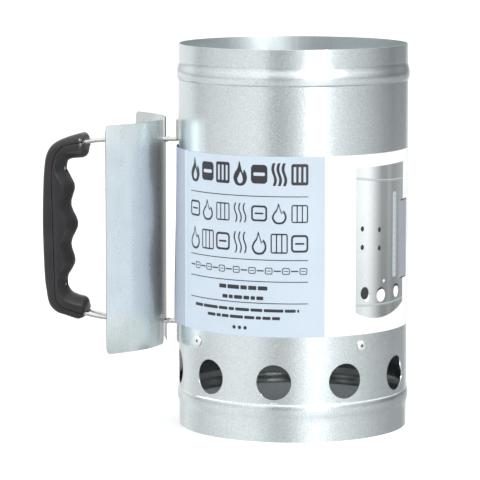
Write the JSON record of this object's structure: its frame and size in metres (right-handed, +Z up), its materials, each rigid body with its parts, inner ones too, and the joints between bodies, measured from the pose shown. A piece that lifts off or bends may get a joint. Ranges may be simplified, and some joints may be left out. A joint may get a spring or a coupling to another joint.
{
  "type": "chimney charcoal starter",
  "caption": "Vented sheet-metal chimney for lighting charcoal, with a loose grate, a wire-held heat shield and a moulded side grip.",
  "frame": {"origin": "centre of the bounding box on the surface that the tube stands on; the tube's axis is at x = +50.0 mm", "axes": "+Z up along the tube's axis; the handle points to -X; +Y is the side away from the usual viewer"},
  "size_m": [0.2668, 0.1668, 0.2745],
  "materials": {
    "galvanised_sheet": "galvanised, fine matt grain",
    "shield_sheet": "galvanised, fine matt grain",
    "grate_steel": "galvanised, dull",
    "rivet_aluminium": "bright",
    "mandrel_steel": "dark, snapped end",
    "plated_wire": "zinc plated, bright drawn",
    "black_plastic": "satin moulded, black",
    "screw_steel": "zinc plated",
    "printed_card": "coated card, pale blue and white"
  },
  "bodies": {
    "starter": {"body_shell": "galvanised_sheet", "card_sleeve": "printed_card", "grate_rivet_1": "rivet_aluminium", "grate_rivet_2": "rivet_aluminium", "grate_rivet_3": "rivet_aluminium", "grate_rivet_4": "rivet_aluminium", "rivet_mandrel_1": "mandrel_steel", "rivet_mandrel_2": "mandrel_steel", "rivet_mandrel_3": "mandrel_steel", "rivet_mandrel_4": "mandrel_steel", "heat_shield": "shield_sheet", "handle_wire_front": "plated_wire", "handle_wire_rear": "plated_wire", "grip_outer_shell": "black_plastic", "grip_inner_shell": "black_plastic", "grip_screw_upper": "screw_steel", "grip_screw_lower": "screw_steel"},
    "loose_grate": {"charcoal_grate": "grate_steel"}
  },
  "joints": [
    {"name": "grate_lift", "type": "slide", "parent": "starter", "child": "loose_grate", "axis": [0, 0, 1], "range_m": [0, 0.215]}
  ]
}
